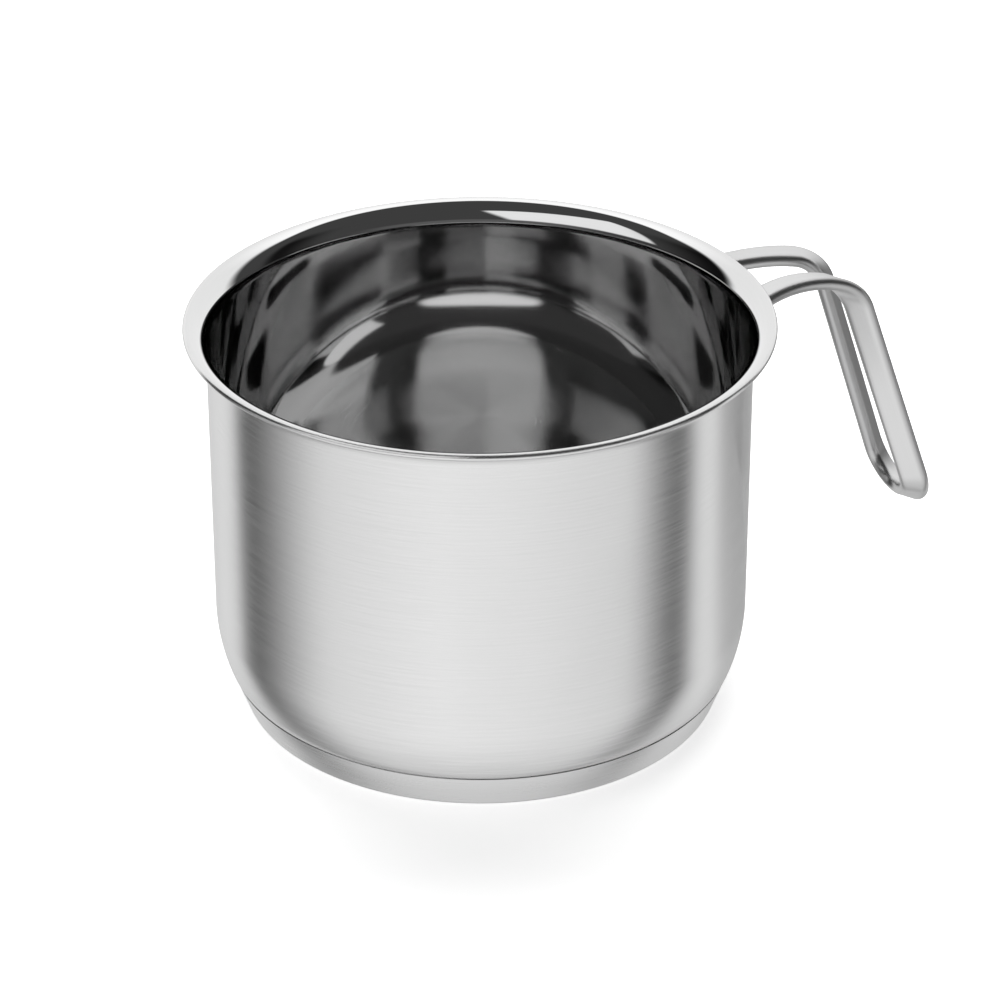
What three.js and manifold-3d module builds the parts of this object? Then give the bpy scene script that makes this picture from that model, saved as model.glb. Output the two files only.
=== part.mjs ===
// A milk pan in stainless steel: a deep-drawn pot with a flared pouring rim, a base of aluminium
// closed in by a pressed steel cap, and a handle bent from one flat oval bar, welded under the rim.
//
// Millimetres, +Z up. The origin is the middle of the base's underside, and the handle points along +X.

import * as THREE from 'three';
import { mergeVertices } from 'three/addons/utils/BufferGeometryUtils.js';
import Module from 'manifold-3d';

// Driving dimensions of the pot
const insideDiameter = 140;
const wallThickness = 0.7;
const panHeight = 108;
const floorHeight = 7;
const flareRadius = 6.5;
const flareTurn = 82;
const rollRadius = 0.85;
const rollTurn = 138;
const shoulderHeight = 27;
const shoulderRadius = 44.5;
const cornerHeight = 12.3;

// Driving dimensions of the base
const capThickness = 0.8;
const capHeight = 9.9;
const capTaper = 3.7;
const capEdgeRadius = 1.6;
const capLipEdge = 0.2;

// Driving dimensions of the handle bar and of its route
const barWidth = 8;
const barThickness = 3.5;
const footDrop = 7.5;
const footReach = 0.9;
const footSpacing = 26.8;
const neckSpacing = 17.6;
const tipSpacing = 21.3;
const riseAngle = 18.6;
const archRadius = 45.7;
const archTurn = 33.1;
const bendRadius = 16.2;
const gripAngle = 70.8;
const gripLength = 56.8;
const neckTwist = 9;
const gripTwist = 45;
const spreadPower = 1.25;

// Driving dimensions of the welds
const weldThroat = 1.5;
const weldReach = 1.8;
const weldEdge = 0.3;

// Clearance between neighbours whose curved faces meet, and how far a cutting body overruns
const seatGap = 0.3;
const cutOverrun = 5;

// How finely the curves are stepped
const turnSteps = 72;
const cornerSteps = 6;
const shoulderSteps = 4;
const flareSteps = 8;
const rollSteps = 6;
const edgeSteps = 3;
const archSteps = 14;
const bendSteps = 16;
const gripSteps = 12;
const tipSteps = 12;
const barEndSteps = 6;
const weldSteps = 3;

const degree = Math.PI / 180;
const insideRadius = insideDiameter / 2;
const outsideRadius = insideRadius + wallThickness;
const floorUnderside = floorHeight - wallThickness;

// The pot's outline below the wall: a wide shoulder, then a tight corner that runs into the flat floor.
// Both arcs share a tangent where they meet, at the corner's height.
const shoulderCentre = new THREE.Vector2(outsideRadius - shoulderRadius, shoulderHeight);
const cornerLean = Math.asin((shoulderHeight - cornerHeight) / shoulderRadius);
const cornerRadius = (cornerHeight - floorUnderside) / (1 - Math.sin(cornerLean));
const cornerStart = new THREE.Vector2(
  shoulderCentre.x + shoulderRadius * Math.cos(cornerLean),
  cornerHeight,
);
const cornerCentre = new THREE.Vector2(
  cornerStart.x - cornerRadius * Math.cos(cornerLean),
  cornerStart.y + cornerRadius * Math.sin(cornerLean),
);

// The rim: the wall flares outwards almost level, then its edge is rolled down and under in a narrow hem.
// The roll is tangent to the flare, and its top is the top of the pan.
const flareEnd = Math.PI - flareTurn * degree;
const rollEnd = flareEnd - rollTurn * degree;
const flareCentre = new THREE.Vector2(
  insideRadius + flareRadius,
  panHeight - rollRadius - (flareRadius - rollRadius) * Math.sin(flareEnd),
);
const rollCentre = new THREE.Vector2(
  flareCentre.x + (flareRadius - rollRadius) * Math.cos(flareEnd),
  flareCentre.y + (flareRadius - rollRadius) * Math.sin(flareEnd),
);

// Points of an arc in a profile, x across and y up, from one angle to another in radians.
function arcPoints(centre, radius, from, to, steps) {
  const points = [];
  for (let i = 0; i <= steps; i += 1) {
    const angle = from + (to - from) * (i / steps);
    points.push(new THREE.Vector2(
      centre.x + radius * Math.cos(angle),
      centre.y + radius * Math.sin(angle),
    ));
  }
  return points;
}

// A closed body turned round the upright axis. The profile is given from the axis and back to it.
function turned(profile) {
  const geometry = new THREE.LatheGeometry(profile, turnSteps);
  geometry.rotateX(Math.PI / 2);
  return geometry;
}

// One face of the pot's sheet, from the axis to the rim's edge, offset inwards from its outside.
function sheetFace(offset) {
  return [
    new THREE.Vector2(0, floorUnderside + offset),
    ...arcPoints(cornerCentre, cornerRadius - offset, -Math.PI / 2, -cornerLean, cornerSteps),
    ...arcPoints(shoulderCentre, shoulderRadius - offset, -cornerLean, 0, shoulderSteps).slice(1),
    ...arcPoints(flareCentre, flareRadius - wallThickness + offset, Math.PI, flareEnd, flareSteps),
    ...arcPoints(rollCentre, rollRadius - wallThickness + offset, flareEnd, rollEnd, rollSteps).slice(1),
  ];
}

// The sheet's rounded edge at the end of the roll.
function rimEdge() {
  const middle = rollRadius - wallThickness / 2;
  const centre = new THREE.Vector2(
    rollCentre.x + middle * Math.cos(rollEnd),
    rollCentre.y + middle * Math.sin(rollEnd),
  );
  const round = arcPoints(centre, wallThickness / 2, rollEnd - Math.PI, rollEnd, edgeSteps + 1);
  return round.slice(1, -1);
}

function potBody() {
  return turned([...sheetFace(0), ...rimEdge(), ...sheetFace(wallThickness).reverse()]);
}

// Radius of the corner's outside at a height, with room left for the seat.
function cornerSeatRadius(height) {
  const reach = cornerRadius + seatGap;
  return cornerCentre.x + Math.sqrt(reach ** 2 - (cornerCentre.y - height) ** 2);
}

// The cap's leaning side runs from its base edge to its lip, which lies close on the pot's corner.
const capLipRadius = cornerSeatRadius(capHeight) + capLipEdge;
const capBaseRadius = capLipRadius - capTaper;
const capLean = Math.atan2(capTaper, capHeight);

// A line parallel to the cap's side, moved inwards: its radius at a height.
function capSideRadius(height, inset) {
  return capBaseRadius + height * Math.tan(capLean) - inset / Math.cos(capLean);
}

// Height at which that line meets the seat round the pot's corner, above the floor's underside.
function seatHeight(inset) {
  const reach = cornerRadius + seatGap;
  const side = new THREE.Vector2(Math.sin(capLean), Math.cos(capLean));
  const start = new THREE.Vector2(capSideRadius(0, inset) - cornerCentre.x, -cornerCentre.y);
  const along = start.dot(side);
  const travel = -along - Math.sqrt(along ** 2 - start.lengthSq() + reach ** 2);
  return travel * side.y;
}

// Angle of the seat at a height, seen from the corner's centre.
function seatAngle(height) {
  return -Math.asin((cornerCentre.y - height) / (cornerRadius + seatGap));
}

function baseCap() {
  const edgeCentre = new THREE.Vector2(
    capBaseRadius - capEdgeRadius * Math.tan((Math.PI / 2 - capLean) / 2),
    capEdgeRadius,
  );
  const innerEdgeRadius = capEdgeRadius - capThickness;
  const meeting = seatHeight(capThickness);
  return turned([
    new THREE.Vector2(0, 0),
    ...arcPoints(edgeCentre, capEdgeRadius, -Math.PI / 2, -capLean, edgeSteps),
    new THREE.Vector2(capLipRadius, capHeight),
    ...arcPoints(cornerCentre, cornerRadius + seatGap, seatAngle(capHeight), seatAngle(meeting), edgeSteps),
    ...arcPoints(edgeCentre, innerEdgeRadius, -capLean, -Math.PI / 2, 1),
    new THREE.Vector2(0, capThickness),
  ]);
}

// The aluminium disc fills the cap, up to the floor and to the pot's corner.
function heatCore() {
  const inset = capThickness + seatGap;
  const meeting = seatHeight(inset);
  return turned([
    new THREE.Vector2(0, capThickness),
    new THREE.Vector2(capSideRadius(capThickness, inset) - seatGap, capThickness),
    new THREE.Vector2(capSideRadius(capThickness + seatGap, inset), capThickness + seatGap),
    ...arcPoints(cornerCentre, cornerRadius + seatGap, seatAngle(meeting), -Math.PI / 2, edgeSteps),
    new THREE.Vector2(cornerCentre.x, floorUnderside),
    new THREE.Vector2(0, floorUnderside),
  ]);
}

// Lengths along the handle's route, from the start of the arch, a little off the wall, to the tip's half turn.
const archLength = archRadius * archTurn * degree;
const bendTurn = gripAngle + riseAngle - archTurn;
const bendLength = bendRadius * bendTurn * degree;
const gripStart = archLength + bendLength;
const tipStart = gripStart + gripLength;
const footHeight = panHeight - footDrop;

// Side view of the route at a length along it: place and slope, x outwards and y up.
// It leaves the wall straight, rises in a shallow arch, bends down and then runs straight.
function sideView(length) {
  const rise = riseAngle * degree;
  const archEnd = rise - archTurn * degree;
  const archStart = new THREE.Vector2(
    outsideRadius + footReach * Math.cos(rise),
    footHeight + footReach * Math.sin(rise),
  );
  const archCentre = new THREE.Vector2(
    archStart.x + archRadius * Math.sin(rise),
    archStart.y - archRadius * Math.cos(rise),
  );
  const bendCentre = new THREE.Vector2(
    archCentre.x - (archRadius - bendRadius) * Math.sin(archEnd),
    archCentre.y + (archRadius - bendRadius) * Math.cos(archEnd),
  );
  if (length <= 0) {
    const place = new THREE.Vector2(
      archStart.x + length * Math.cos(rise),
      archStart.y + length * Math.sin(rise),
    );
    return { place, slope: rise };
  }
  const inArch = length < archLength;
  const centre = inArch ? archCentre : bendCentre;
  const radius = inArch ? archRadius : bendRadius;
  const turn = inArch
    ? rise - length / archRadius
    : archEnd - Math.min(length - archLength, bendLength) / bendRadius;
  const past = Math.max(length - gripStart, 0);
  const place = new THREE.Vector2(
    centre.x - radius * Math.sin(turn) + past * Math.cos(turn),
    centre.y + radius * Math.cos(turn) + past * Math.sin(turn),
  );
  return { place, slope: turn };
}

// Half the distance between the two legs: they draw together to the neck and spread a little to the tip.
function halfSpacing(length) {
  const foot = footSpacing / 2;
  const neck = neckSpacing / 2;
  const tip = tipSpacing / 2;
  if (length < archLength) {
    const left = (archLength - length) / (archLength + footReach);
    return neck + (foot - neck) * left ** 2;
  }
  const gone = (length - archLength) / (tipStart - archLength);
  return neck + (tip - neck) * gone ** spreadPower;
}

// Tilt of the bar's flat faces: each leg's outer edge turns away from the pot through the bend.
function barTwist(length) {
  const arch = THREE.MathUtils.clamp(length / archLength, 0, 1);
  const bend = THREE.MathUtils.smoothstep(length, archLength, gripStart);
  return (neckTwist * arch ** 2 + (gripTwist - neckTwist) * bend) * degree;
}

// The tip's half turn lies in the grip's plane and meets both legs on a tangent.
const spread = Math.atan2(halfSpacing(tipStart) - halfSpacing(tipStart - seatGap), seatGap);
const tipRadius = halfSpacing(tipStart) / Math.cos(spread);
const tipCentreLength = tipStart + tipRadius * Math.sin(spread);

// Lengths and half spacings of the stations from a leg's foot to the tip.
function legStations(from) {
  const stations = [];
  const add = (length, half) => stations.push({ length, half });
  add(from, halfSpacing(from));
  add(-footReach, halfSpacing(-footReach));
  for (let i = 0; i < archSteps; i += 1) {
    const length = archLength * (i / archSteps);
    add(length, halfSpacing(length));
  }
  for (let i = 0; i < bendSteps; i += 1) {
    const length = archLength + bendLength * (i / bendSteps);
    add(length, halfSpacing(length));
  }
  for (let i = 0; i < gripSteps; i += 1) {
    const length = gripStart + gripLength * (i / gripSteps);
    add(length, halfSpacing(length));
  }
  for (let i = 0; i <= tipSteps; i += 1) {
    const angle = (Math.PI / 2 + spread) * (1 - i / tipSteps);
    add(tipCentreLength + tipRadius * Math.cos(angle), tipRadius * Math.sin(angle));
  }
  return stations;
}

// A station in space, on the leg at +Y for side 1 and at -Y for side -1.
function placed(station, side) {
  const { place, slope } = sideView(station.length);
  return {
    centre: new THREE.Vector3(place.x, side * station.half, place.y),
    normal: new THREE.Vector3(-Math.sin(slope), 0, Math.cos(slope)),
    twist: barTwist(station.length),
  };
}

// The bar's section: two flat faces joined by half rounds, grown by a margin on every side.
function barSection(margin) {
  const round = barThickness / 2;
  const straight = barWidth / 2 - round;
  const points = [];
  for (const end of [1, -1]) {
    for (let i = 0; i <= barEndSteps; i += 1) {
      const angle = Math.PI * (i / barEndSteps - 1 / 2);
      points.push(new THREE.Vector2(
        end * (straight + (round + margin) * Math.cos(angle)),
        end * (round + margin) * Math.sin(angle),
      ));
    }
  }
  return points;
}

// A solid bar through a row of stations. Each section stands square to the route, with its width
// turned from the line across the legs by the twist, and is closed by a flat end.
function barThrough(stations, margins) {
  const positions = [];
  const indices = [];
  const count = barSection(0).length;
  const last = stations.length - 1;
  stations.forEach((station, i) => {
    const before = stations[Math.max(i - 1, 0)].centre;
    const after = stations[Math.min(i + 1, last)].centre;
    const along = after.clone().sub(before).normalize();
    const across = new THREE.Vector3().crossVectors(station.normal, along).normalize();
    const upward = new THREE.Vector3().crossVectors(along, across);
    const wide = across.clone().multiplyScalar(Math.cos(station.twist));
    wide.addScaledVector(upward, Math.sin(station.twist));
    const thick = new THREE.Vector3().crossVectors(along, wide);
    for (const point of barSection(margins[i])) {
      const corner = station.centre.clone().addScaledVector(wide, point.x).addScaledVector(thick, point.y);
      positions.push(corner.x, corner.y, corner.z);
    }
  });
  for (let i = 0; i < last; i += 1) {
    for (let j = 0; j < count; j += 1) {
      const a = i * count + j;
      const b = i * count + ((j + 1) % count);
      indices.push(a, b, a + count, b, b + count, a + count);
    }
  }
  for (let j = 1; j < count - 1; j += 1) {
    indices.push(0, j + 1, j);
    indices.push(last * count, last * count + j, last * count + j + 1);
  }
  const geometry = new THREE.BufferGeometry();
  geometry.setAttribute('position', new THREE.Float32BufferAttribute(positions, 3));
  geometry.setIndex(indices);
  return geometry;
}

const wasm = await Module();
wasm.setup();

function toSolid(geometry) {
  const bare = geometry.clone();
  bare.deleteAttribute('normal');
  bare.deleteAttribute('uv');
  const welded = mergeVertices(bare);
  return new wasm.Manifold(new wasm.Mesh({
    numProp: 3,
    vertProperties: new Float32Array(welded.attributes.position.array),
    triVerts: new Uint32Array(welded.index.array),
  }));
}

function toGeometry(solid) {
  const mesh = solid.getMesh();
  const geometry = new THREE.BufferGeometry();
  geometry.setAttribute('position', new THREE.BufferAttribute(mesh.vertProperties, 3));
  geometry.setIndex(new THREE.BufferAttribute(mesh.triVerts, 1));
  geometry.computeVertexNormals();
  return geometry;
}

// The space that the wall and the flare over it take up beside the handle, with the gap at their faces.
function wallSpace() {
  const flare = arcPoints(
    flareCentre,
    flareRadius - wallThickness - seatGap,
    Math.PI,
    flareEnd,
    flareSteps,
  );
  return toSolid(turned([
    new THREE.Vector2(0, footHeight - cutOverrun - barWidth),
    new THREE.Vector2(outsideRadius + seatGap, footHeight - cutOverrun - barWidth),
    ...flare,
    new THREE.Vector2(flare[flareSteps].x, panHeight),
    new THREE.Vector2(0, panHeight),
  ]));
}

// The bar from one foot round the tip to the other, its ends coped to the wall.
function handleBar() {
  const leg = legStations(-footReach - cutOverrun);
  const there = leg.map((station) => placed(station, 1));
  const back = leg.slice(0, -1).reverse().map((station) => placed(station, -1));
  const route = [...there, ...back];
  const bar = toSolid(barThrough(route, route.map(() => 0)));
  return toGeometry(bar.subtract(wallSpace()));
}

// Length at which a leg's middle meets the wall, a little behind the start of the arch.
const footLength = (Math.sqrt(outsideRadius ** 2 - (footSpacing / 2) ** 2) - outsideRadius)
  / Math.cos(riseAngle * degree) - footReach;

// A stretch of one leg as a solid, grown by a margin that may change along it.
function legStretch(side, from, to, marginAt) {
  const stations = [];
  const margins = [];
  for (let i = 0; i <= weldSteps; i += 1) {
    const length = from + (to - from) * (i / weldSteps);
    stations.push(placed({ length, half: halfSpacing(length) }, side));
    margins.push(marginAt(length));
  }
  return toSolid(barThrough(stations, margins));
}

// The fillet of weld round one foot: wide on the wall and narrow on the bar, hollow where the bar runs.
function footWeld(side) {
  const fillet = (length) => {
    const left = THREE.MathUtils.clamp(1 - (length - footLength) / weldReach, 0, 1);
    return seatGap + weldEdge + (weldThroat - weldEdge) * left ** 2;
  };
  const bead = legStretch(side, footLength - seatGap, footLength + weldReach, fillet);
  const root = legStretch(side, footLength - cutOverrun, footLength - seatGap, () => seatGap + weldThroat);
  const bore = legStretch(side, footLength - 2 * cutOverrun, footLength + 2 * cutOverrun, () => seatGap);
  return toGeometry(bead.add(root).subtract(bore).subtract(wallSpace()));
}

function piece(name, geometry, color, roughness) {
  const material = new THREE.MeshStandardMaterial({ color, roughness, metalness: 1 });
  const mesh = new THREE.Mesh(geometry, material);
  mesh.name = name;
  return mesh;
}

const milkPan = new THREE.Group();
milkPan.name = 'milk_pan';
milkPan.add(piece('pot_body', potBody(), 0xc9c9c7, 0.3));
milkPan.add(piece('heat_core', heatCore(), 0xd2d3d4, 0.5));
milkPan.add(piece('base_cap', baseCap(), 0xbfbfbd, 0.35));
milkPan.add(piece('handle', handleBar(), 0xc4c4c2, 0.32));
milkPan.add(piece('weld_left', footWeld(1), 0xa9a8a5, 0.55));
milkPan.add(piece('weld_right', footWeld(-1), 0xa9a8a5, 0.55));

export default milkPan;
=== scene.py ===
# %% [markdown]
# # A milk pan in stainless steel
#
# The pan is a drawn steel pot with a flared and rolled pouring rim, a closed base with aluminium
# inside, and a handle bent from one flat oval bar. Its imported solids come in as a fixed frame. The
# visible pieces are modelled round them, finely enough for steel that mirrors its surroundings.

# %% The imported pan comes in
import math

import bpy
from mathutils import Matrix, Vector


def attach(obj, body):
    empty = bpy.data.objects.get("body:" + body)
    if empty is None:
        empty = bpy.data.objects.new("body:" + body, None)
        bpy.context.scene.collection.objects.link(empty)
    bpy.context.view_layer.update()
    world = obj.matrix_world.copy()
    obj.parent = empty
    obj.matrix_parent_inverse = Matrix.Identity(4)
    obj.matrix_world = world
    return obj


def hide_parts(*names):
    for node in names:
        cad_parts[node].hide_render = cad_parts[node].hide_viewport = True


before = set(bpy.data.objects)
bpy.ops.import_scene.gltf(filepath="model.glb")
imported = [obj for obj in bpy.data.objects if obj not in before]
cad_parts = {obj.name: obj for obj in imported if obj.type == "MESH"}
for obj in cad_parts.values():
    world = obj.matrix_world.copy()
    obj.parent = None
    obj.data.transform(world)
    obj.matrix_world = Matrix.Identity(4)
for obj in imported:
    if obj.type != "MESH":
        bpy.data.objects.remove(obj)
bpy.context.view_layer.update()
print("packed nodes:", sorted(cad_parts))


# %% Millimetres and degrees
def mm(length):
    """A length in millimetres, in Blender's metres."""
    return length / 1000


def hex_colour(code):
    """An sRGB hex colour as the linear colour that nodes take."""
    shares = [int(code[i:i + 2], 16) / 255 for i in (1, 3, 5)]
    linear = [s / 12.92 if s <= 0.04045 else ((s + 0.055) / 1.055) ** 2.4 for s in shares]
    return (*linear, 1.0)


# %% [markdown]
# ## The camera
#
# A pan is photographed from a little above, with a long lens that keeps its sides upright. The place
# and the lens here are those at which the rim's ellipse, the base and the handle's tip lie as they
# do in the picture.

# %% The camera
CAMERA_TURN = math.radians(26.08)
CAMERA_PITCH = math.radians(28.563)
CAMERA_ASIDE = 5.150
CAMERA_BACK = 896.869
CAMERA_HEIGHT = 542.693
CAMERA_LENS = 139.19
AHEAD = Vector((math.sin(CAMERA_TURN), math.cos(CAMERA_TURN), 0))
RIGHT = Vector((math.cos(CAMERA_TURN), -math.sin(CAMERA_TURN), 0))
camera_place = RIGHT * mm(CAMERA_ASIDE) - AHEAD * mm(CAMERA_BACK) + Vector((0, 0, mm(CAMERA_HEIGHT)))
bpy.ops.object.camera_add(location=camera_place, rotation=(math.pi / 2 - CAMERA_PITCH, 0, -CAMERA_TURN))
camera = bpy.context.object
camera.name = "camera"
camera.data.sensor_width = 36
camera.data.lens = CAMERA_LENS
camera.data.clip_start = mm(50)
camera.data.clip_end = 20
bpy.context.scene.camera = camera
print("camera at", [round(v, 4) for v in camera.location])

# %% Colours are shown as written, and steel is followed through many mirrorings
bpy.context.scene.view_settings.view_transform = "Standard"
bpy.context.scene.cycles.max_bounces = 24
bpy.context.scene.cycles.glossy_bounces = 20

# %% [markdown]
# ## Nodes
#
# Materials and the studio are built from nodes. One small function adds a node, sets its values and
# links its inputs, so that each recipe below reads from top to bottom.

# %% A node with its settings and links
def node(tree, kind, settings=None, inputs=None, links=None):
    """Adds one node. settings are its properties, inputs its socket values, links its incoming sockets."""
    made = tree.nodes.new(kind)
    for name, value in (settings or {}).items():
        setattr(made, name, value)
    for name, value in (inputs or {}).items():
        made.inputs[name].default_value = value
    for name, socket in (links or {}).items():
        tree.links.new(socket, made.inputs[name])
    return made


# %% [markdown]
# ## The studio
#
# Polished and brushed steel has next to no colour of its own: what the eye reads as steel is the room
# in it. A product studio for steel is a white sweep behind, a broad soft box at the camera's left,
# a pale table, and black flags at both sides that draw the dark edges. The world is painted that way,
# patch over patch, by the direction in which a ray leaves.

# %% Which way a ray leaves, seen from the camera
world = bpy.data.worlds.new("white_studio")
bpy.context.scene.world = world
world.use_nodes = True
sky = world.node_tree
sky.nodes.clear()
leaving = node(sky, "ShaderNodeTexCoord").outputs["Generated"]
SWEEP_LEAN = math.radians(22)
SOFT_BOX_LEAN = 0.26
TO_DEGREES = 180 / math.pi
DIRECTIONS = {
    "right": RIGHT,
    "camera": -AHEAD,
    "up": Vector((0, 0, 1)),
    "sweep": AHEAD * math.cos(SWEEP_LEAN) - Vector((0, 0, math.sin(SWEEP_LEAN))),
}
reach = {}
for name, direction in DIRECTIONS.items():
    dot = node(sky, "ShaderNodeVectorMath", {"operation": "DOT_PRODUCT"}, {1: direction}, {0: leaving})
    reach[name] = dot.outputs["Value"]
around = node(sky, "ShaderNodeMath", {"operation": "ARCTAN2"}, {}, {0: reach["right"], 1: reach["camera"]})
rising = node(sky, "ShaderNodeMath", {"operation": "ARCSINE"}, {}, {0: reach["up"]})
turn = node(sky, "ShaderNodeMath", {"operation": "MULTIPLY"}, {1: TO_DEGREES}, {0: around.outputs[0]})
tilt = node(sky, "ShaderNodeMath", {"operation": "MULTIPLY"}, {1: TO_DEGREES}, {0: rising.outputs[0]})
aside = node(sky, "ShaderNodeMath", {"operation": "ABSOLUTE"}, {}, {0: turn.outputs[0]})
leaned = node(
    sky, "ShaderNodeMath", {"operation": "MULTIPLY_ADD"},
    {1: -SOFT_BOX_LEAN}, {0: tilt.outputs[0], 2: turn.outputs[0]},
)
LOOKS = {
    "turn": turn.outputs[0],
    "tilt": tilt.outputs[0],
    "aside": aside.outputs[0],
    "leaned turn": leaned.outputs[0],
    "sweep": reach["sweep"],
}
print("directions read as:", sorted(LOOKS))

# %% The room, patch over patch
# Each patch has a brightness, the share of it that covers what lies behind, and its borders. A border
# names what it is read on: the turn from the camera's side in degrees, with right positive, the turn
# moved along by the tilt, the turn without its sign, the tilt above level, or the reach over the
# sweep's edge. The patch comes in between the first two numbers and goes out between the last two.
# It has no border at a side that is open.
OPEN = 999
OPEN_START = (-OPEN, -OPEN + 1)
OPEN_END = (OPEN, OPEN + 1)
BARE_ROOM = 0.88
ROOM_STRENGTH = 1.265
SWEEP_EDGES = {"sweep": (-0.02, 0.05, *OPEN_END), "aside": (118, 130, *OPEN_END)}
PATCHES = {
    "table by the camera": (1.09, 1.0, {"turn": (-85, -8, -8, 80)}),
    "table at the pan's foot": (0.7, 1.0, {"tilt": (*OPEN_START, -75, -40)}),
    "table behind": (0.55, 1.0, {"aside": (125, 180, *OPEN_END)}),
    "table behind, right": (0.45, 0.6, {"turn": (116, 148, *OPEN_END)}),
    "dark cloth behind, right": (0.06, 0.95, {"turn": (108, 122, 146, 165), "tilt": (-29, -21, -6, 2)}),
    "dark ceiling": (0.06, 1.0, {"tilt": (-3, 3, *OPEN_END)}),
    "low light by the camera": (0.12, 1.0, {"aside": (*OPEN_START, 30, 60), "tilt": (-3, 3, 12, 17)}),
    "white sweep": (0.99, 1.0, {**SWEEP_EDGES, "tilt": (-3, 3, *OPEN_END)}),
    "top of the sweep": (1.28, 1.0, {**SWEEP_EDGES, "tilt": (34, 56, *OPEN_END)}),
    "soft box": (1.0, 1.0, {
        "turn": (-80, -76, *OPEN_END),
        "leaned turn": (*OPEN_START, -19, -14),
        "tilt": (12, 18, 55, 58),
    }),
    "left flag": (0.0, 0.9, {"turn": (-127, -118, -118, -64), "tilt": (*OPEN_START, 35, 50)}),
    "right flag": (0.0, 0.85, {"turn": (63, 93, 95, 105), "tilt": (*OPEN_START, 35, 50)}),
}
room = node(sky, "ShaderNodeValue")
room.outputs[0].default_value = BARE_ROOM
room = room.outputs[0]
for name, (brightness, cover, borders) in PATCHES.items():
    inside = None
    for look, (low, full, still, gone) in borders.items():
        for start, end, left, right in ((low, full, 0, 1), (still, gone, 1, 0)):
            if abs(start) >= OPEN - 1:
                continue
            limits = {"From Min": start, "From Max": end, "To Min": left, "To Max": right}
            edge = node(
                sky, "ShaderNodeMapRange", {"interpolation_type": "SMOOTHSTEP"},
                limits, {"Value": LOOKS[look]},
            ).outputs[0]
            if inside is not None:
                both = node(sky, "ShaderNodeMath", {"operation": "MULTIPLY"}, {}, {0: inside, 1: edge})
                edge = both.outputs[0]
            inside = edge
    share = node(sky, "ShaderNodeMath", {"operation": "MULTIPLY", "label": name}, {1: cover}, {0: inside})
    room = node(sky, "ShaderNodeMix", {}, {3: brightness}, {0: share.outputs[0], 2: room}).outputs[0]
print("room painted with", len(PATCHES), "patches")

# %% The camera sees white paper where the steel sees the room
for_metal = node(sky, "ShaderNodeBackground", inputs={"Strength": ROOM_STRENGTH}, links={"Color": room})
for_camera = node(sky, "ShaderNodeBackground", inputs={"Color": (1, 1, 1, 1), "Strength": 1.0})
paths = node(sky, "ShaderNodeLightPath")
shown = node(
    sky, "ShaderNodeMixShader",
    links={0: paths.outputs["Is Camera Ray"], 1: for_metal.outputs[0], 2: for_camera.outputs[0]},
)
node(sky, "ShaderNodeOutputWorld", links={"Surface": shown.outputs[0]})
world.cycles.sampling_method = "MANUAL"
world.cycles.sample_map_resolution = 1024

# %% [markdown]
# The lamp throws the soft shadow under the pan. It is large, so the shadow has no edge.

# %% The lamp over the back
LAMP_PLACE = AHEAD * 0.45 + Vector((0, 0, 1.1))
LAMP_AIM = Vector((0, 0, mm(50)))
LAMP_WATTS = 9.0
bpy.ops.object.light_add(type="AREA", location=LAMP_PLACE)
back_bank = bpy.context.object
back_bank.name = "back_bank"
back_bank.data.shape = "RECTANGLE"
back_bank.data.size = 1.2
back_bank.data.size_y = 0.7
back_bank.data.energy = LAMP_WATTS
back_bank.rotation_mode = "QUATERNION"
back_bank.rotation_quaternion = (LAMP_PLACE - LAMP_AIM).to_track_quat("Z", "Y")
back_bank.visible_glossy = False
print("lamp at", [round(v, 3) for v in back_bank.location])

# %% [markdown]
# The floor lies just under the pan's base, so that the two flat faces never share a plane. It is matt
# paper, and it glows a little for the camera alone, which brings it to the white of the background.

# %% The floor
FLOOR_DROP = 0.1
PAPER_GLOW = 0.62
bpy.ops.mesh.primitive_plane_add(size=8, location=(0, 0, -mm(FLOOR_DROP)))
floor = bpy.context.object
floor.name = "floor"
floor.visible_glossy = False
paper = bpy.data.materials.new("white_paper_sweep")
paper.use_nodes = True
tree = paper.node_tree
tree.nodes.clear()
matt = node(tree, "ShaderNodeBsdfDiffuse", inputs={"Color": hex_colour("#F2F2F2")})
glow = node(tree, "ShaderNodeEmission", inputs={"Color": (1, 1, 1, 1), "Strength": PAPER_GLOW})
seen = node(tree, "ShaderNodeLightPath")
dark = node(tree, "ShaderNodeEmission", inputs={"Color": (0, 0, 0, 1), "Strength": 0.0})
lit = node(
    tree, "ShaderNodeMixShader",
    links={0: seen.outputs["Is Camera Ray"], 1: dark.outputs[0], 2: glow.outputs[0]},
)
total = node(tree, "ShaderNodeAddShader", links={0: matt.outputs[0], 1: lit.outputs[0]})
node(tree, "ShaderNodeOutputMaterial", links={"Surface": total.outputs[0]})
floor.data.materials.append(paper)
print("floor at", round(floor.location.z * 1000, 2), "mm")

# %% [markdown]
# ## Sizes
#
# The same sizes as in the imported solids, in millimetres. The curves are stepped more finely. One size
# differs: the pot's inside corner is rounder than in the solid, because the bright crescent that the
# photograph shows inside the pan only forms over a wide corner.

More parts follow.
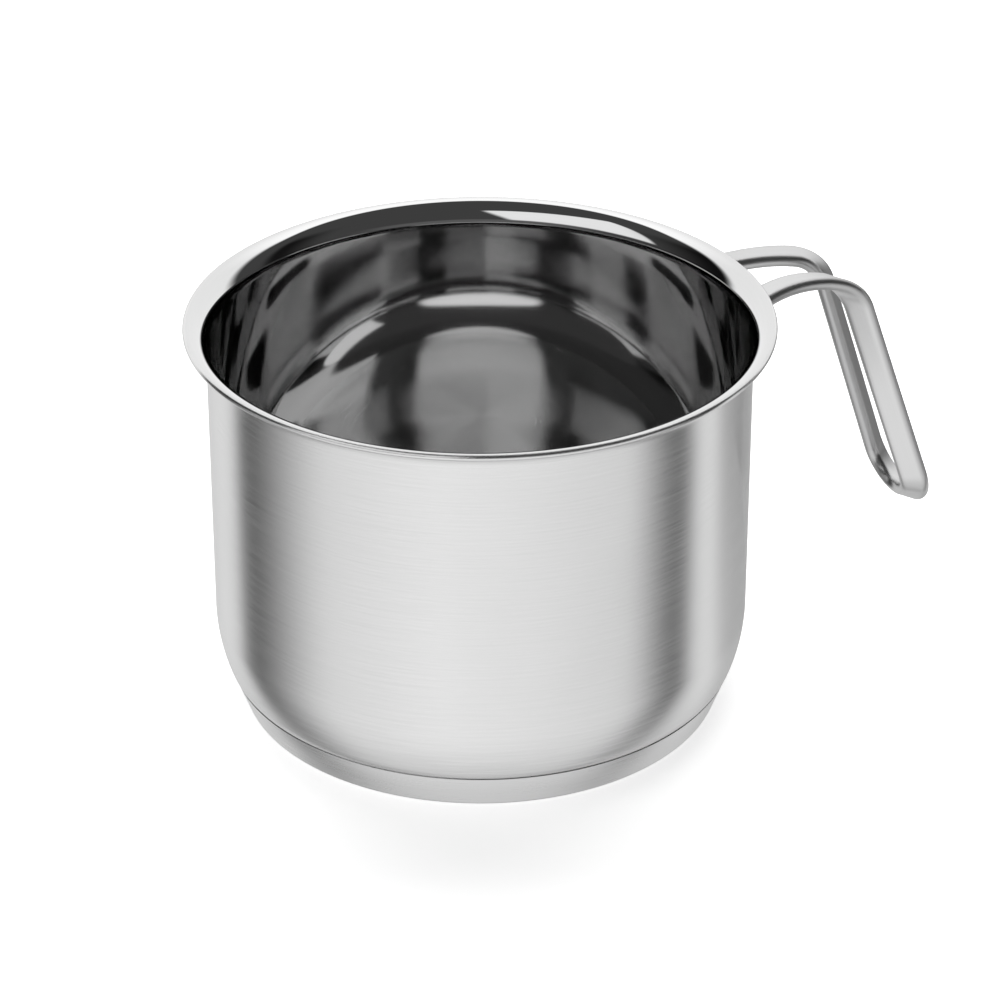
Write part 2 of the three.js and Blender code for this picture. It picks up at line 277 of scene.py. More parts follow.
# %% Sizes of the pot
INSIDE_RADIUS = 70
WALL = 0.7
PAN_HEIGHT = 108
FLOOR_HEIGHT = 7
FLARE_RADIUS = 6.5
FLARE_TURN = math.radians(82)
ROLL_RADIUS = 0.85
RIM_TURN = math.radians(220)
SHOULDER_HEIGHT = 27
SHOULDER_RADIUS = 44.5
CORNER_HEIGHT = 12.3
INNER_CORNER = 20
INNER_FLAT = 52
OUTSIDE_RADIUS = INSIDE_RADIUS + WALL
FLOOR_UNDERSIDE = FLOOR_HEIGHT - WALL
SHOULDER_CENTRE = (OUTSIDE_RADIUS - SHOULDER_RADIUS, SHOULDER_HEIGHT)
CORNER_LEAN = math.asin((SHOULDER_HEIGHT - CORNER_HEIGHT) / SHOULDER_RADIUS)
CORNER_RADIUS = (CORNER_HEIGHT - FLOOR_UNDERSIDE) / (1 - math.sin(CORNER_LEAN))
CORNER_CENTRE = (
    SHOULDER_CENTRE[0] + (SHOULDER_RADIUS - CORNER_RADIUS) * math.cos(CORNER_LEAN),
    CORNER_HEIGHT + CORNER_RADIUS * math.sin(CORNER_LEAN),
)
FLARE_HEIGHT = PAN_HEIGHT - ROLL_RADIUS - (FLARE_RADIUS - ROLL_RADIUS) * math.sin(FLARE_TURN)
FLARE_CENTRE = (INSIDE_RADIUS + FLARE_RADIUS, FLARE_HEIGHT)
ROLL_CENTRE = (
    FLARE_CENTRE[0] - (FLARE_RADIUS - ROLL_RADIUS) * math.cos(FLARE_TURN),
    FLARE_CENTRE[1] + (FLARE_RADIUS - ROLL_RADIUS) * math.sin(FLARE_TURN),
)


# %% [markdown]
# ## Steel finishes
#
# Every finish is bare stainless steel. What tells them apart is how the strokes of the belt or the
# pad lie. The strokes are one noise, read at places that are stretched along the stroke: round the
# wall, in rings on the floor, or along the bar. They vary the brightness and the roughness a little
# and lift the surface by part of a thousandth of a millimetre. A second, wide noise stands for the
# places that hands and cloths have touched. Real strokes lie about 0.05 mm apart and would vanish at
# this distance, so they are drawn six to eight times coarser. The rounded edges of the bar are painted
# a little dimmer: painted shade, for the dark reflections that the rounds take.

# %% Where a stroke runs
PER_METRE = 1000
RINGS_PER_MM = 3.5
RING_DRIFT_PER_MM = 0.06
STROKES = {
    "round": ((0.05, 0.05, 2.4), "Object"),
    "along the bar": ((0.03, 5.0, 5.0), "bar_place"),
    "everywhere": ((3.0, 3.0, 3.0), "Object"),
}


def stroke_places(tree, kind):
    """The places at which the strokes' noise is read, per millimetre, and the direction of the strokes."""
    place = node(tree, "ShaderNodeTexCoord").outputs["Object"]
    around = node(tree, "ShaderNodeVectorMath", {"operation": "CROSS_PRODUCT"}, {0: (0, 0, 1)}, {1: place})
    unit = node(tree, "ShaderNodeVectorMath", {"operation": "NORMALIZE"}, {}, {0: around.outputs[0]})
    tangent = unit.outputs[0]
    if kind == "in rings":
        parts = node(tree, "ShaderNodeSeparateXYZ", links={0: place})
        flat = node(tree, "ShaderNodeCombineXYZ", links={0: parts.outputs[0], 1: parts.outputs[1]})
        out = node(tree, "ShaderNodeVectorMath", {"operation": "LENGTH"}, {}, {0: flat.outputs[0]})
        wide = node(
            tree, "ShaderNodeMath", {"operation": "MULTIPLY"},
            {1: RINGS_PER_MM * PER_METRE}, {0: out.outputs["Value"]},
        )
        slow = node(
            tree, "ShaderNodeVectorMath", {"operation": "SCALE"},
            {"Scale": RING_DRIFT_PER_MM * PER_METRE}, {0: flat.outputs[0]},
        )
        lifted = node(tree, "ShaderNodeCombineXYZ", links={2: wide.outputs[0]})
        joined = node(
            tree, "ShaderNodeVectorMath", {"operation": "ADD"},
            {}, {0: slow.outputs[0], 1: lifted.outputs[0]},
        )
        return joined.outputs[0], tangent
    scale, source = STROKES[kind]
    if source != "Object":
        place = node(tree, "ShaderNodeAttribute", {"attribute_name": source}).outputs["Vector"]
        tangent = node(tree, "ShaderNodeAttribute", {"attribute_name": "bar_way"}).outputs["Vector"]
    stretched = node(
        tree, "ShaderNodeVectorMath", {"operation": "MULTIPLY"},
        {1: [s * PER_METRE for s in scale]}, {0: place},
    )
    return stretched.outputs[0], tangent


# %% Steel with its strokes
ACROSS_STROKES = 0.25
NOISE_LOW = 0.25
NOISE_HIGH = 0.75
TOUCH_PER_METRE = 45.0
TOUCH_SHARE = 0.8


def steel(
    name, colour, roughness, strokes,
    spread=0.0, contrast=0.05, uneven=0.04, lift=0.0004, edges=0.0,
):
    """Bare steel with its strokes.

    spread is how much wider a highlight is across the strokes than along them. contrast and uneven vary
    the brightness and the roughness, and lift is the strokes' height in mm. edges is how much painted
    shade dims the colour on the bar's rounded edges, where the bar's edge attribute is 1.
    """
    material = bpy.data.materials.new(name)
    material.use_nodes = True
    tree = material.node_tree
    tree.nodes.clear()
    places, tangent = stroke_places(tree, strokes)
    stroke = node(
        tree, "ShaderNodeTexNoise", {}, {"Scale": 1.0, "Detail": 3.0, "Roughness": 0.6}, {"Vector": places}
    )
    body = node(tree, "ShaderNodeTexCoord").outputs["Object"]
    touch = node(
        tree, "ShaderNodeTexNoise", {},
        {"Scale": TOUCH_PER_METRE, "Detail": 2.0, "Roughness": 0.5}, {"Vector": body},
    )
    low = (*(c * (1 - contrast) for c in hex_colour(colour)[:3]), 1)
    high = (*(c * (1 + contrast) for c in hex_colour(colour)[:3]), 1)
    tone = node(tree, "ShaderNodeMix", {"data_type": "RGBA"}, {6: low, 7: high}, {0: stroke.outputs["Fac"]})
    # Painted shade: the colour is dimmed on the bar's rounded edges, by the edge attribute times edges.
    edge = node(tree, "ShaderNodeAttribute", {"attribute_name": "bar_edge_shade"}).outputs["Fac"]
    painted_edge_shade = node(tree, "ShaderNodeMath", {"operation": "MULTIPLY_ADD"}, {1: -edges, 2: 1.0}, {0: edge})
    shown = node(
        tree, "ShaderNodeVectorMath", {"operation": "SCALE"},
        {}, {0: tone.outputs[2], "Scale": painted_edge_shade.outputs[0]},
    )
    limits = {
        "From Min": NOISE_LOW, "From Max": NOISE_HIGH,
        "To Min": roughness - uneven, "To Max": roughness + uneven,
    }
    rough = node(tree, "ShaderNodeMapRange", {}, limits, {"Value": stroke.outputs["Fac"]})
    handled = node(
        tree, "ShaderNodeMath", {"operation": "MULTIPLY_ADD"},
        {1: uneven * TOUCH_SHARE}, {0: touch.outputs["Fac"], 2: rough.outputs[0]},
    )
    bump = node(
        tree, "ShaderNodeBump", {},
        {"Strength": 1.0, "Distance": mm(lift)}, {"Height": stroke.outputs["Fac"]},
    )
    shader = node(
        tree, "ShaderNodeBsdfPrincipled", {},
        {"Metallic": 1.0, "Anisotropic": spread, "Anisotropic Rotation": ACROSS_STROKES},
        {
            "Base Color": shown.outputs[0], "Roughness": handled.outputs[0],
            "Normal": bump.outputs[0], "Tangent": tangent,
        },
    )
    node(tree, "ShaderNodeOutputMaterial", links={"Surface": shader.outputs[0]})
    return material


# %% [markdown]
# ## Turned pieces
#
# The pot and the cap are round, so each is drawn as half of its section and spun about the upright
# axis. The section starts as one vertex and is extruded from point to point, which keeps the sheet's
# thickness true everywhere. A lathe modifier would need a live axis object; spin leaves plain mesh.

# %% A section is drawn and spun
TURN_STEPS = 288
SAME_PLACE = 0.002


def arc(centre, radius, start, end, steps):
    """Points of an arc, as (radius from the axis, height), between two angles."""
    turns = [start + (end - start) * i / steps for i in range(steps + 1)]
    return [(centre[0] + radius * math.cos(t), centre[1] + radius * math.sin(t)) for t in turns]


def spun(name, section):
    """A closed turned piece from its section, given from the axis and back to it."""
    bpy.ops.object.select_all(action="DESELECT")
    bpy.ops.mesh.primitive_plane_add(size=mm(1), location=(0, 0, 0))
    piece = bpy.context.object
    piece.name = name
    bpy.ops.object.mode_set(mode="EDIT")
    bpy.ops.mesh.select_mode(type="VERT")
    bpy.ops.mesh.select_all(action="SELECT")
    bpy.ops.mesh.merge(type="CENTER")
    at_now = section[0]
    bpy.ops.transform.translate(value=(mm(at_now[0]), 0, mm(at_now[1])))
    for point in section[1:]:
        step = (mm(point[0] - at_now[0]), 0, mm(point[1] - at_now[1]))
        bpy.ops.mesh.extrude_vertices_move(TRANSFORM_OT_translate={"value": step})
        at_now = point
    bpy.ops.mesh.select_all(action="SELECT")
    bpy.ops.mesh.spin(steps=TURN_STEPS, angle=2 * math.pi, center=(0, 0, 0), axis=(0, 0, 1))
    bpy.ops.mesh.select_all(action="SELECT")
    bpy.ops.mesh.remove_doubles(threshold=mm(SAME_PLACE))
    bpy.ops.mesh.normals_make_consistent(inside=False)
    bpy.ops.object.mode_set(mode="OBJECT")
    print(name, len(piece.data.polygons), "faces")
    return piece


# %% The pot's sheet, drawn from the axis to the rim
FLOOR_RINGS = (0, 5, 15, 30, 45)
WALL_RINGS = (40, 60, 80, 95)


def sheet_face(offset):
    """One face of the pot's sheet, from the axis to the rim's edge, offset inwards from its outside.

    The inside has its own wide corner, which ends where it meets the shoulder.
    """
    shoulder = SHOULDER_RADIUS - offset
    if offset:
        apart = INNER_FLAT - SHOULDER_CENTRE[0]
        knee = (shoulder ** 2 - INNER_CORNER ** 2 + apart ** 2) / (2 * apart)
        corner_end = -math.acos((knee - apart) / INNER_CORNER)
        corner = [
            *arc((INNER_FLAT, SHOULDER_HEIGHT), INNER_CORNER, -math.pi / 2, corner_end, 36),
            *arc(SHOULDER_CENTRE, shoulder, -math.acos(knee / shoulder), 0, 16)[1:],
        ]
    else:
        corner = [
            *arc(CORNER_CENTRE, CORNER_RADIUS, -math.pi / 2, -CORNER_LEAN, 24),
            *arc(SHOULDER_CENTRE, shoulder, -CORNER_LEAN, 0, 16)[1:],
        ]
    return [
        *((r, FLOOR_UNDERSIDE + offset) for r in FLOOR_RINGS),
        *corner,
        *((OUTSIDE_RADIUS - offset, z) for z in WALL_RINGS),
        *arc(FLARE_CENTRE, FLARE_RADIUS - WALL + offset, math.pi, math.pi - FLARE_TURN, 24),
        *arc(ROLL_CENTRE, ROLL_RADIUS - WALL + offset, math.pi - FLARE_TURN, math.pi - RIM_TURN, 20)[1:],
    ]


def rim_edge():
    """The sheet's rounded edge at the end of the rolled rim."""
    angle = math.pi - RIM_TURN
    middle = ROLL_RADIUS - WALL / 2
    centre = (ROLL_CENTRE[0] + middle * math.cos(angle), ROLL_CENTRE[1] + middle * math.sin(angle))
    return arc(centre, WALL / 2, angle - math.pi, angle, 8)[1:-1]


pot = spun("pot", [*sheet_face(0), *rim_edge(), *reversed(sheet_face(WALL))])
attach(pot, "root")
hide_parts("pot_body")

# %% [markdown]
# The pot is one sheet, but it is finished three ways: the outside is brushed round the wall, the
# inside wall and the rim's upper side are polished, and the floor is ground in rings. Each finish gets
# its own material slot, and the faces are picked by where they are.


# %% Faces picked by place
def give(piece, material, test):
    """Assigns a material to the faces whose middle and normal pass a test."""
    piece.data.materials.append(material)
    bpy.ops.object.select_all(action="DESELECT")
    piece.select_set(True)
    bpy.context.view_layer.objects.active = piece
    bpy.ops.object.mode_set(mode="EDIT")
    bpy.ops.mesh.select_mode(type="FACE")
    bpy.ops.mesh.select_all(action="DESELECT")
    bpy.ops.object.mode_set(mode="OBJECT")
    for face in piece.data.polygons:
        face.select = test(face.center, face.normal)
    piece.active_material_index = len(piece.data.materials) - 1
    bpy.ops.object.mode_set(mode="EDIT")
    bpy.ops.object.material_slot_assign()
    bpy.ops.object.mode_set(mode="OBJECT")


# %% The pot's three finishes
BARELY_OUT = 0.02


def faces_axis(middle, normal):
    """Whether a face of a turned piece looks towards the axis, or straight up."""
    return normal.dot(Vector((middle.x, middle.y, 0)).normalized()) < BARELY_OUT


satin_wall = steel(
    "satin_steel_brushed_round", "#CDCDCD", 0.2, "round", spread=1.0, contrast=0.14, lift=0.0009)
polished = steel(
    "polished_steel", "#CBCBCB", 0.035, "round", contrast=0.02, uneven=0.012, lift=0.00001)
ground_floor = steel(
    "steel_ground_in_rings", "#E0E0E0", 0.22, "in rings", spread=1.0, contrast=0.05, lift=0.0003)

POLISH_START = mm(FLOOR_HEIGHT + 0.5)
FLOOR_START = mm(FLOOR_HEIGHT - 0.2)
FLOOR_END = mm(12)
LEVEL = 0.97
SMOOTH_ANGLE = math.radians(40)
give(pot, satin_wall, lambda c, n: True)
give(pot, polished, lambda c, n: c.z > POLISH_START and faces_axis(c, n))
give(pot, ground_floor, lambda c, n: FLOOR_START < c.z < FLOOR_END and n.z > LEVEL)
bpy.ops.object.shade_smooth_by_angle(angle=SMOOTH_ANGLE)
slots = [face.material_index for face in pot.data.polygons]
print("pot faces by finish:", [slots.count(i) for i in range(len(pot.data.materials))])

# %% [markdown]
# The cap is spun in the same way. Its side leans in towards the base, and its lip lies close on the
# pot's corner, which leaves the fine groove that the photograph shows round the pan. The lip is a
# little narrower than the solid's, because the solids keep a gap there and this seat is closed.

# %% The base cap
CAP_THICKNESS = 0.8
CAP_HEIGHT = 9.9
CAP_TAPER = 3.7
CAP_EDGE = 1.6
LIP_EDGE = -0.12
LIP_ROUND = 0.03
SEAT_GAP = 0.005
SEAT_SPAN = math.radians(24)
CAD_GAP = 0.3
CAP_LIP_RADIUS = LIP_EDGE + CORNER_CENTRE[0] + math.sqrt(
    (CORNER_RADIUS + CAD_GAP) ** 2 - (CORNER_CENTRE[1] - CAP_HEIGHT) ** 2)
CAP_BASE_RADIUS = CAP_LIP_RADIUS - CAP_TAPER
CAP_LEAN = math.atan2(CAP_TAPER, CAP_HEIGHT)


def cap_section():
    """The cap's section: its underside, its leaning side, the lip, and the seat round the pot's corner."""
    edge_centre = (CAP_BASE_RADIUS - CAP_EDGE * math.tan((math.pi / 2 - CAP_LEAN) / 2), CAP_EDGE)
    seat_radius = CORNER_RADIUS + SEAT_GAP
    lip_centre = (CAP_LIP_RADIUS - LIP_ROUND / math.cos(CAP_LEAN), CAP_HEIGHT - LIP_ROUND)
    seat_top = -math.asin((CORNER_CENTRE[1] - CAP_HEIGHT + LIP_ROUND) / seat_radius)
    return [
        (0, 0), (5, 0), (20, 0), (40, 0), (56, 0),
        *arc(edge_centre, CAP_EDGE, -math.pi / 2, -CAP_LEAN, 10),
        (CAP_BASE_RADIUS + CAP_TAPER * 0.5, CAP_HEIGHT * 0.5),
        *arc(lip_centre, LIP_ROUND, -CAP_LEAN, math.pi / 2, 6),
        *arc(CORNER_CENTRE, seat_radius, seat_top, seat_top - SEAT_SPAN, 8),
        (CAP_BASE_RADIUS - 2, CAP_THICKNESS + 1),
        (CAP_BASE_RADIUS - 3, CAP_THICKNESS),
        (40, CAP_THICKNESS), (0, CAP_THICKNESS),
    ]


cap = spun("base_shell", cap_section())
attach(cap, "root")
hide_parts("base_cap")
satin_cap = steel("satin_steel_turned_cap", "#D0D0D0", 0.28, "round", spread=0.8)
turned_face = steel("satin_steel_turned_underside", "#C0C0C0", 0.34, "in rings", spread=0.8)
give(cap, satin_cap, lambda c, n: True)
give(cap, turned_face, lambda c, n: n.z < -LEVEL)
bpy.ops.object.shade_smooth_by_angle(angle=SMOOTH_ANGLE)
print("cap:", round(2 * CAP_BASE_RADIUS, 2), "mm across below,", round(2 * CAP_LIP_RADIUS, 2), "at the lip")

# %% [markdown]
# ## The handle
#
# The handle is one flat oval bar. Each leg rises from the wall in a shallow arch, bends down and runs
# straight, while the bar twists so that its flat sides turn outwards, and a half turn joins the legs
# at the tip. A curve with a bevel would need its tilt worked out against Blender's own frames, so one
# section is extruded from station to station instead, and turned a little at each, as a bar is bent
# over a former. Only one leg is made. A mirror gives the other, and a cutter copes both feet.

# %% Sizes of the handle
BAR_WIDTH = 8
BAR_THICKNESS = 3.5
FOOT_DROP = 7.5
FOOT_SPACING = 26.8
NECK_SPACING = 17.6
TIP_SPACING = 21.3
RISE = math.radians(18.6)
FOOT_REACH = 0.9
ARCH_RADIUS = 45.7
ARCH_TURN = math.radians(33.1)
BEND_RADIUS = 16.2
GRIP_ANGLE = math.radians(70.8)
GRIP_LENGTH = 56.8
NECK_TWIST = math.radians(9)
GRIP_TWIST = math.radians(45)
SPREAD_POWER = 1.25
ARCH_LENGTH = ARCH_RADIUS * ARCH_TURN
BEND_LENGTH = BEND_RADIUS * (GRIP_ANGLE + RISE - ARCH_TURN)
GRIP_START = ARCH_LENGTH + BEND_LENGTH
TIP_START = GRIP_START + GRIP_LENGTH
FOOT_HEIGHT = PAN_HEIGHT - FOOT_DROP
ARCH_END = RISE - ARCH_TURN
ARCH_START = (OUTSIDE_RADIUS + FOOT_REACH * math.cos(RISE), FOOT_HEIGHT + FOOT_REACH * math.sin(RISE))
ARCH_CENTRE = (ARCH_START[0] + ARCH_RADIUS * math.sin(RISE), ARCH_START[1] - ARCH_RADIUS * math.cos(RISE))
BEND_CENTRE = (
    ARCH_CENTRE[0] - (ARCH_RADIUS - BEND_RADIUS) * math.sin(ARCH_END),
    ARCH_CENTRE[1] + (ARCH_RADIUS - BEND_RADIUS) * math.cos(ARCH_END),
)
print("the grip starts", round(GRIP_START, 1), "mm and the tip", round(TIP_START, 1), "mm along the bar")


# %% The route of the bar
def side_view(length):
    """Place (outwards, upwards) and slope of the route at a length from the start of the arch."""
    if length <= 0:
        return ARCH_START[0] + length * math.cos(RISE), ARCH_START[1] + length * math.sin(RISE), RISE
    if length < ARCH_LENGTH:
        centre, radius, slope = ARCH_CENTRE, ARCH_RADIUS, RISE - length / ARCH_RADIUS
    else:
        bent = min(length - ARCH_LENGTH, BEND_LENGTH)
        centre, radius, slope = BEND_CENTRE, BEND_RADIUS, ARCH_END - bent / BEND_RADIUS
    past = max(length - GRIP_START, 0)
    across = centre[0] - radius * math.sin(slope) + past * math.cos(slope)
    upwards = centre[1] + radius * math.cos(slope) + past * math.sin(slope)
    return across, upwards, slope


def half_spacing(length):
    """Half the distance between the legs: narrow at the neck, a little wider at the tip."""
    if length < ARCH_LENGTH:
        left = 1 - (length + FOOT_REACH) / (ARCH_LENGTH + FOOT_REACH)
        return (NECK_SPACING + (FOOT_SPACING - NECK_SPACING) * left ** 2) / 2
    gone = (length - ARCH_LENGTH) / (TIP_START - ARCH_LENGTH)
    return (NECK_SPACING + (TIP_SPACING - NECK_SPACING) * gone ** SPREAD_POWER) / 2


def bar_twist(length):
    """Turn of the flat faces about the route: slight on the arch, the rest through the bend."""
    arched = min(max(length / ARCH_LENGTH, 0), 1)
    bent = min(max((length - ARCH_LENGTH) / BEND_LENGTH, 0), 1)
    return NECK_TWIST * arched ** 2 + (GRIP_TWIST - NECK_TWIST) * bent * bent * (3 - 2 * bent)


# %% Stations along the route
ARCH_STEPS = 24
BEND_STEPS = 36
GRIP_STEPS = 12
TIP_STEPS = 30
SHORT_WAY = 0.3


def leg_stations():
    """(length, half spacing) of one leg, from inside the wall to the middle of the tip."""
    lengths = [-FOOT_REACH - 4, -FOOT_REACH - 2, -FOOT_REACH]
    lengths += [ARCH_LENGTH * i / ARCH_STEPS for i in range(ARCH_STEPS)]
    lengths += [ARCH_LENGTH + BEND_LENGTH * i / BEND_STEPS for i in range(BEND_STEPS)]
    lengths += [GRIP_START + GRIP_LENGTH * i / GRIP_STEPS for i in range(GRIP_STEPS)]
    stations = [(length, half_spacing(length)) for length in lengths]
    spread = math.atan2(half_spacing(TIP_START) - half_spacing(TIP_START - SHORT_WAY), SHORT_WAY)
    tip_radius = half_spacing(TIP_START) / math.cos(spread)
    tip_centre = TIP_START + tip_radius * math.sin(spread)
    for i in range(TIP_STEPS + 1):
        angle = (math.pi / 2 + spread) * (1 - i / TIP_STEPS)
        stations.append((tip_centre + tip_radius * math.cos(angle), tip_radius * math.sin(angle)))
    return stations


def in_space(station):
    """Centre of a station, and the direction square to the handle's own surface there."""
    across, upwards, slope = side_view(station[0])
    centre = Vector((mm(across), mm(station[1]), mm(upwards)))
    return centre, Vector((-math.sin(slope), 0, math.cos(slope)))


def bar_frames(stations):
    """The section's centre and directions (wide, thick, along) at each station."""
    spots = [in_space(station) for station in stations]
    centres = [centre for centre, normal in spots]
    beyond = centres[-2].copy()
    beyond.y = -beyond.y
    frames = []
    for i, (centre, normal) in enumerate(spots):
        before = centres[max(i - 1, 0)]
        after = centres[i + 1] if i + 1 < len(centres) else beyond
        along = (after - before).normalized()
        across = normal.cross(along).normalized()
        upward = along.cross(across)
        twist = bar_twist(stations[i][0])
        wide = across * math.cos(twist) + upward * math.sin(twist)
        frames.append((centre, Matrix((wide, along.cross(wide), along)).transposed()))
    return frames


# %% The bar's section, drawn flat
ROUND_STEPS = 36
FLAT_CUTS = 5
HALF_FLAT = mm((BAR_WIDTH - BAR_THICKNESS) / 2)


def oval_section(name, outset=0.0):
    """An oval face, outset in mm from the bar's section: two half rounds moved apart, with cut flats."""
    bpy.ops.object.select_all(action="DESELECT")
    bpy.ops.mesh.primitive_circle_add(
        vertices=ROUND_STEPS, radius=mm(BAR_THICKNESS / 2 + outset),
        location=(0, 0, 0), rotation=(0, 0, math.pi / ROUND_STEPS),
    )
    bar = bpy.context.object
    bar.name = name
    bpy.ops.object.transform_apply(location=True, rotation=True, scale=True)
    for side in (1, -1):
        bpy.ops.object.mode_set(mode="EDIT")
        bpy.ops.mesh.select_mode(type="VERT")
        bpy.ops.mesh.select_all(action="DESELECT")
        bpy.ops.object.mode_set(mode="OBJECT")
        for vertex in bar.data.vertices:
            vertex.select = vertex.co.x * side > 0
        bpy.ops.object.mode_set(mode="EDIT")
        bpy.ops.transform.translate(value=(side * HALF_FLAT, 0, 0))
    bpy.ops.mesh.select_mode(type="EDGE")
    bpy.ops.mesh.select_all(action="DESELECT")
    bpy.ops.object.mode_set(mode="OBJECT")
    for edge in bar.data.edges:
        ends = [bar.data.vertices[i].co.x for i in edge.vertices]
        edge.select = ends[0] * ends[1] < 0
    bpy.ops.object.mode_set(mode="EDIT")
    bpy.ops.mesh.subdivide(number_cuts=FLAT_CUTS)
    bpy.ops.mesh.select_mode(type="VERT")
    bpy.ops.mesh.select_all(action="SELECT")
    bpy.ops.mesh.edge_face_add()
    bpy.ops.object.mode_set(mode="OBJECT")
    return bar


NO_TURN = 1e-7


def turn_selected(change, centre):
    """Turns what is selected in edit mode. Without a window, the operator turns the other way."""
    for axis, angle in zip("XYZ", change.to_euler("XYZ")):
        if abs(angle) > NO_TURN:
            bpy.ops.transform.rotate(
                value=-angle, orient_axis=axis, orient_type="GLOBAL", center_override=centre)


# %% The bar is bent
frames = bar_frames(leg_stations())
handle = oval_section("handle_bar")
start_centre, start_turn = frames[0]
handle.matrix_world = Matrix.Translation(start_centre) @ start_turn.to_4x4()
bpy.ops.object.transform_apply(location=True, rotation=True, scale=True)
bpy.ops.object.mode_set(mode="EDIT")
bpy.ops.mesh.select_all(action="SELECT")
for (centre, turned), (next_centre, next_turned) in zip(frames, frames[1:]):
    bpy.ops.mesh.extrude_region_move(TRANSFORM_OT_translate={"value": next_centre - centre})
    turn_selected(next_turned @ turned.transposed(), next_centre)
bpy.ops.mesh.delete(type="ONLY_FACE")
bpy.ops.mesh.select_all(action="SELECT")
bpy.ops.mesh.normals_make_consistent(inside=False)
bpy.ops.object.mode_set(mode="OBJECT")
NEAR_MIDDLE = mm(0.05)
ring = [v.co for v in handle.data.vertices if abs(v.co.y) < NEAR_MIDDLE]
print("last ring:", len(ring), "vertices, off the middle by", max(abs(co.y) for co in ring) * 1000, "mm")

# %% The other leg, and the feet coped to the wall
# The cutter is a plain cylinder, a little smaller than the wall, so that the feet end in the sheet.
COPE_DEPTH = 0.02
COPE_HEIGHT = 60
mirror = handle.modifiers.new("other_leg", "MIRROR")
mirror.use_axis = (False, True, False)
mirror.merge_threshold = NEAR_MIDDLE
bpy.ops.object.modifier_apply(modifier=mirror.name)
bpy.ops.object.select_all(action="DESELECT")
bpy.ops.mesh.primitive_cylinder_add(
    vertices=TURN_STEPS, radius=mm(OUTSIDE_RADIUS - COPE_DEPTH), depth=mm(COPE_HEIGHT),
    location=(0, 0, mm(FOOT_HEIGHT)),
)
cutter = bpy.context.object
cope = handle.modifiers.new("cope", "BOOLEAN")
cope.operation = "DIFFERENCE"
cope.solver = "EXACT"
cope.object = cutter
bpy.ops.object.select_all(action="DESELECT")
handle.select_set(True)
bpy.context.view_layer.objects.active = handle
bpy.ops.object.modifier_apply(modifier=cope.name)
bpy.data.objects.remove(cutter)
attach(handle, "root")
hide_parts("handle")
print("coped handle:", len(handle.data.vertices), "vertices")

# %% [markdown]
# The strokes and the painted shade on the bar's edges follow its route, which none of Blender's
# coordinates does. So each vertex keeps its place along and across the bar, the bar's direction there,
# and how far it is round an edge, which sets how much painted shade it gets. The two legs are set
# apart across the bar, so that their strokes differ.

# %% Places and directions along the bar, for its finish
LEG_SHIFT = mm(40)
EDGE_FADE = mm(1.1)
bar_data = handle.data.attributes
for name, kind in (("bar_place", "FLOAT_VECTOR"), ("bar_way", "FLOAT_VECTOR"), ("bar_edge_shade", "FLOAT")):
    bar_data.new(name, kind, "POINT")
run = [0.0]
for near, far in zip(frames, frames[1:]):
    run.append(run[-1] + (far[0] - near[0]).length)
for vertex in handle.data.vertices:
    side = 1 if vertex.co.y >= 0 else -1
    here = Vector((vertex.co.x, vertex.co.y * side, vertex.co.z))
    i = min(range(len(frames)), key=lambda k: (frames[k][0] - here).length_squared)
    centre, turned = frames[i]
    off = turned.transposed() @ (here - centre)
    way = turned @ Vector((0, 0, 1))
    # How far round an edge the vertex lies: the share of painted shade that it gets.
    round_edge = (abs(off.x) - HALF_FLAT) / EDGE_FADE
    bar_data["bar_place"].data[vertex.index].vector = (run[i], off.x + side * LEG_SHIFT, off.y)
    bar_data["bar_way"].data[vertex.index].vector = (way.x, way.y * side, way.z)
    bar_data["bar_edge_shade"].data[vertex.index].value = min(max(round_edge, 0), 1)
print("one leg runs", round(run[-1] * 1000, 1), "mm to the middle of the tip")

# %% The bar's finish
# edges paints shade on the bar's rounded edges, up to 30 % dimmer.
satin_bar = steel("satin_steel_bar", "#CDCDCD", 0.31, "along the bar", spread=0.75, edges=0.3)
handle.data.materials.append(satin_bar)
bpy.ops.object.shade_smooth_by_angle(angle=SMOOTH_ANGLE)
print("handle:", len(handle.data.polygons), "faces, box", [round(v * 1000, 2) for v in handle.dimensions])

# %% [markdown]
# ## The welds
#
# A fillet of weld runs round each foot: wide on the wall, and thinning out on the bar. It starts as an
# oval that lies flat on the wall, and is inset and moved out along the bar step by step, which gives
# an even fillet although the bar leaves the wall at a slant. The last ring is tucked into the bar, and
# the first one lies inside the pot's sheet. The other weld is a mirrored copy.

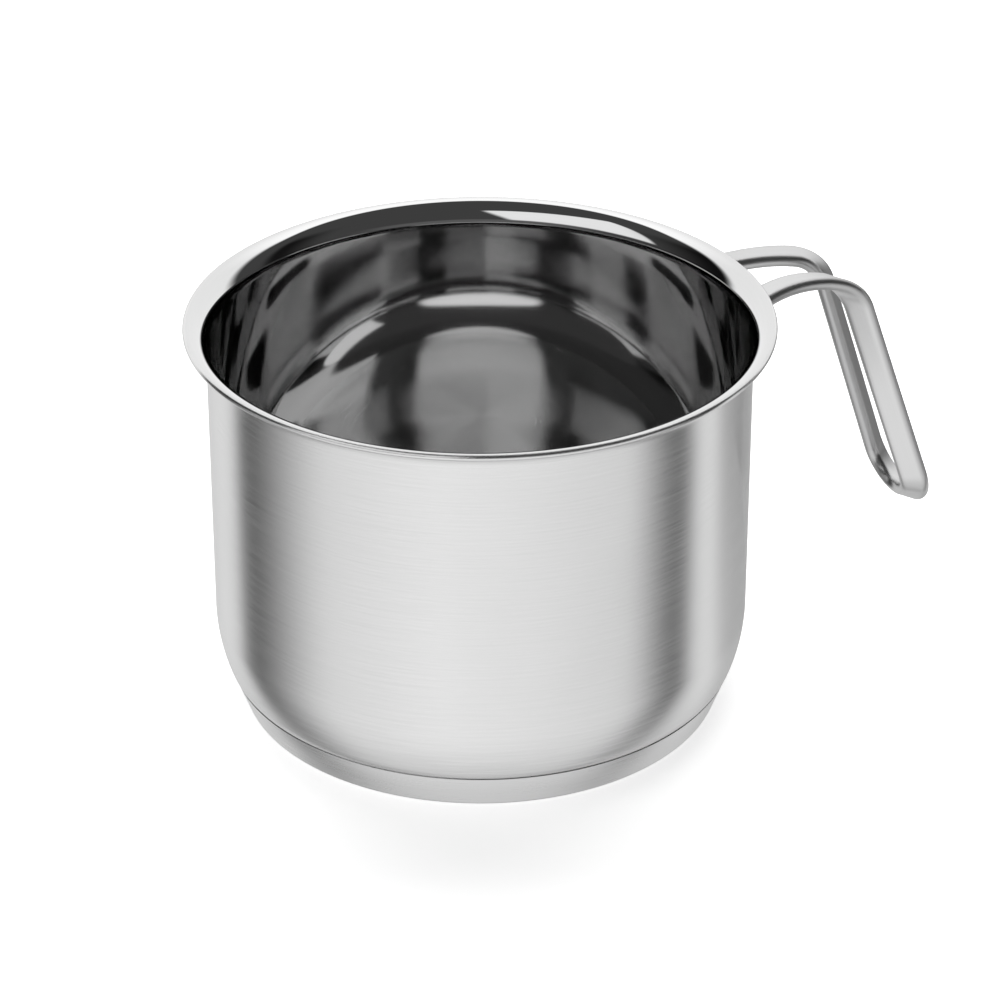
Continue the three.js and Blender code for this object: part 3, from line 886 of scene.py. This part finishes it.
# %% The fillet round a foot
WELD_THROAT = 1.5
WELD_REACH = 1.8
WELD_STEPS = 10
IN_SHEET = 0.6
WALL_BOW = 0.25
TUCK = 0.5
AT_WALL = 2
foot_centre, foot_turn = frames[AT_WALL]
wall_normal = Vector((foot_centre.x, foot_centre.y, 0)).normalized()
along_foot = foot_turn @ Vector((0, 0, 1))
outwards = along_foot / along_foot.dot(wall_normal)
wide = foot_turn @ Vector((1, 0, 0))
wide = wide - outwards * wide.dot(wall_normal)
thick = foot_turn @ Vector((0, 1, 0))
thick = thick - outwards * thick.dot(wall_normal)
level = wall_normal.cross(wide.normalized())
on_wall = Matrix((wide.normalized(), level, wall_normal)).transposed()
weld = oval_section("weld", WELD_THROAT)
weld.matrix_world = (
    Matrix.Translation(foot_centre - outwards * mm(IN_SHEET))
    @ on_wall.to_4x4() @ Matrix.Diagonal((wide.length, abs(thick.dot(level)), 1, 1))
)
bpy.ops.object.transform_apply(location=True, rotation=True, scale=True)
bpy.ops.object.mode_set(mode="EDIT")
bpy.ops.mesh.select_all(action="SELECT")
bpy.ops.mesh.extrude_region_move(TRANSFORM_OT_translate={"value": outwards * mm(IN_SHEET - WALL_BOW)})
for i in range(WELD_STEPS):
    here, beyond = (math.pi / 2 * k / WELD_STEPS for k in (i, i + 1))
    bpy.ops.mesh.inset(thickness=mm(WELD_THROAT * (math.sin(beyond) - math.sin(here))), depth=0)
    bpy.ops.transform.translate(value=outwards * mm(WELD_REACH * (math.cos(here) - math.cos(beyond))))
bpy.ops.mesh.inset(thickness=mm(TUCK), depth=0)
bpy.ops.mesh.select_all(action="SELECT")
bpy.ops.mesh.normals_make_consistent(inside=False)
bpy.ops.object.mode_set(mode="OBJECT")
print("weld", len(weld.data.polygons), "faces, box", [round(v * 1000, 2) for v in weld.dimensions])

# %% The welds' metal, and the mirrored copy
weld_metal = steel("dressed_weld", "#C0C0C0", 0.4, "everywhere", lift=0.004)
weld.data.materials.append(weld_metal)
bpy.ops.object.shade_smooth_by_angle(angle=SMOOTH_ANGLE)
bpy.ops.object.duplicate()
other = bpy.context.object
other.scale = (1, -1, 1)
bpy.ops.object.transform_apply(location=True, rotation=True, scale=True)
bpy.ops.object.mode_set(mode="EDIT")
bpy.ops.mesh.select_all(action="SELECT")
bpy.ops.mesh.normals_make_consistent(inside=False)
bpy.ops.object.mode_set(mode="OBJECT")
for piece, node_name in ((weld, "weld_left"), (other, "weld_right")):
    piece.name = "fillet_" + node_name
    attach(piece, "root")
    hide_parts(node_name)
print("welds:", weld.name, "and", other.name)

# %% [markdown]
# The aluminium core can't be seen from outside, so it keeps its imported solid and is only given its
# metal, which is rolled sheet with its fine lines.

# %% The core's metal
core_metal = steel("rolled_aluminium", "#D2D3D4", 0.45, "round", spread=0.5)
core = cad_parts["heat_core"]
core.data.materials.clear()
core.data.materials.append(core_metal)
print("core dressed in", core_metal.name)
